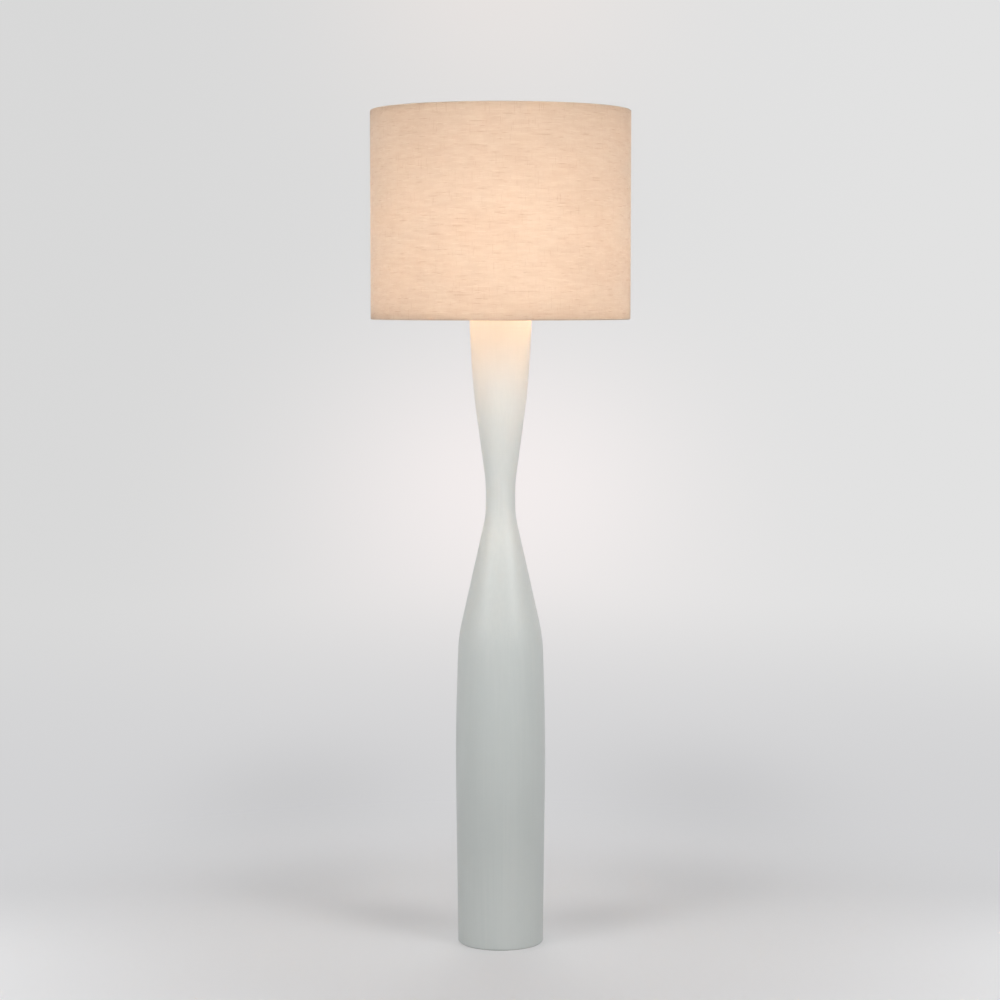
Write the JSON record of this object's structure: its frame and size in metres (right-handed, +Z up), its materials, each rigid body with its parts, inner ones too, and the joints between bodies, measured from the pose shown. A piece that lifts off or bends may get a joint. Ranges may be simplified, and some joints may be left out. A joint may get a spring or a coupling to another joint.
{
  "type": "column floor lamp",
  "caption": "Floor lamp with a tall waisted column, weighted at the foot, and a straight linen drum shade on a threaded lampholder.",
  "frame": {"origin": "on the floor, under the middle of the foot", "axes": "+Z up along the column; +Y to the back, where the cable outlet is; the front looks along -Y"},
  "size_m": [0.495, 0.495, 1.6],
  "materials": {
    "column": "satin white lacquer over a moulded resin shell",
    "pad": "soft pale grey foam rubber",
    "iron": "as cast, black primer",
    "zinc": "bright zinc plate",
    "grommet": "matt light grey",
    "plate": "satin white lacquer",
    "holder": "moulded thermoplastic, slight gloss",
    "insert": "unglazed, fine",
    "brass": "stamped strip, bright",
    "frame": "white powder coat",
    "liner": "translucent white film",
    "linen": "natural slub linen, plain weave",
    "bulb_metal": "nickel plate",
    "black_glass": "glossy",
    "bulb_body": "moulded, slight gloss",
    "circuit": "solder mask",
    "board": "white coated",
    "chip": "phosphor gel",
    "globe": "opal, lit"
  },
  "bodies": {
    "lamp": {"foot_pad": "pad", "base_weight": "iron", "bottom_washer": "zinc", "bottom_nut": "zinc", "centre_tube": "zinc", "column_shell": "column", "cable_grommet": "grommet", "mouth_plate": "plate", "top_washer": "zinc", "top_nut": "zinc", "holder_cap": "holder", "lock_screw": "zinc", "holder_insert": "insert", "terminal_screws": "brass", "centre_contact": "brass", "side_contact": "brass", "holder_body": "holder"},
    "collar": {"shade_ring": "holder"},
    "shade": {"shade_spider": "frame", "top_wire": "frame", "shade_liner": "liner", "shade_cover": "linen"},
    "bulb": {"bulb_contact": "bulb_metal", "bulb_insulator": "black_glass", "bulb_cap": "bulb_metal", "bulb_housing": "bulb_body", "bulb_driver": "circuit", "led_board": "board", "led_chips": "chip", "bulb_globe": "globe"}
  },
  "joints": [
    {"name": "collar_lift", "type": "slide", "parent": "lamp", "child": "collar", "axis": [0, 0, 1], "range_m": [0, 0.035]},
    {"name": "shade_turn", "type": "hinge", "parent": "collar", "child": "shade", "pos_m": [0, 0, 1.2475], "axis": [0, 0, 1], "continuous": true},
    {"name": "bulb_lift", "type": "slide", "parent": "lamp", "child": "bulb", "axis": [0, 0, 1], "range_m": [0, 0.36]}
  ]
}
